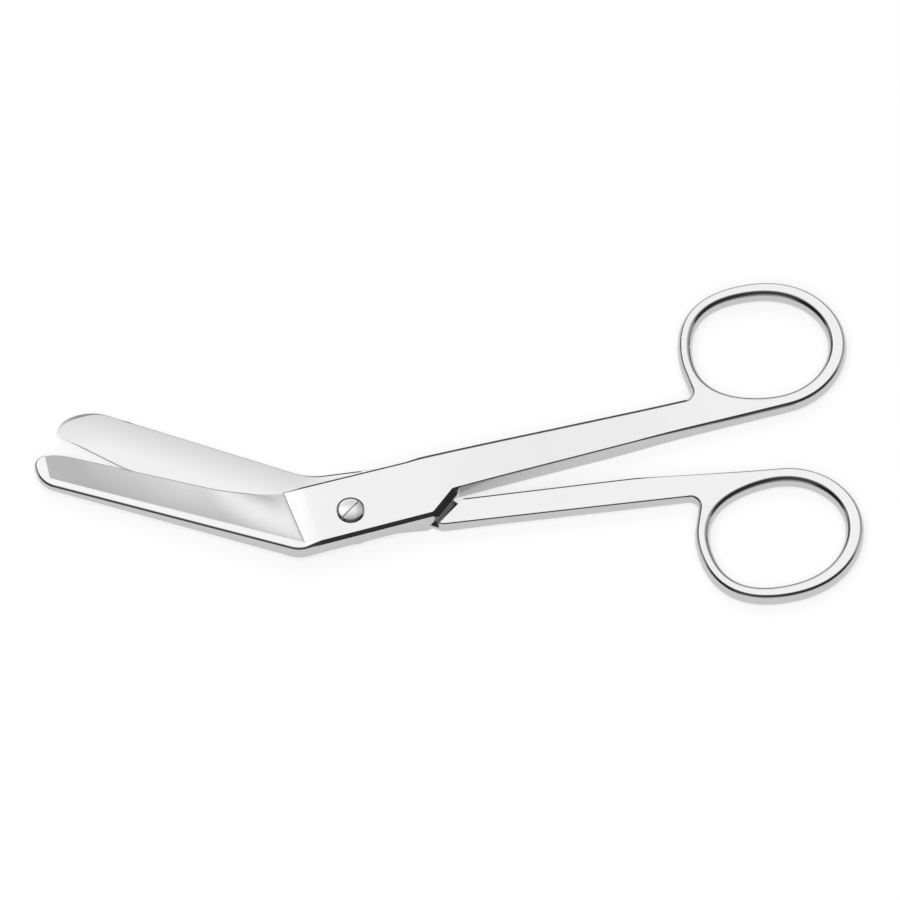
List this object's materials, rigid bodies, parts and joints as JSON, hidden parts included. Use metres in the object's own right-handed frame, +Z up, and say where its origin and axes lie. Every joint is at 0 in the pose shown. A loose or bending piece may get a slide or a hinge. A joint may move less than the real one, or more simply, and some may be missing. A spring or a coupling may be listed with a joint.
{
  "type": "angled surgical scissors",
  "caption": "Angled surgical scissors, half open: polished steel halves with bent, round-ended blades and oval finger rings, crossed at a slotted screw",
  "frame": {"origin": "on the screw's axis, in the plane of the rear half's flat underside", "axes": "+X from the screw towards the finger rings, midway between the handles at rest; +Z up along the screw, out of its head; the blades bend towards +Y"},
  "size_m": [0.1439, 0.0623, 0.0065],
  "materials": {
    "polished_steel": "polished stainless steel"
  },
  "bodies": {
    "rear": {"rear_half": "polished_steel", "pivot_screw": "polished_steel"},
    "front": {"front_half": "polished_steel"}
  },
  "joints": [
    {"name": "screw_hinge", "type": "hinge", "parent": "rear", "child": "front", "pos_m": [0, 0, 0], "axis": [0, 0, 1], "range_deg": [-3.8, 60]}
  ]
}
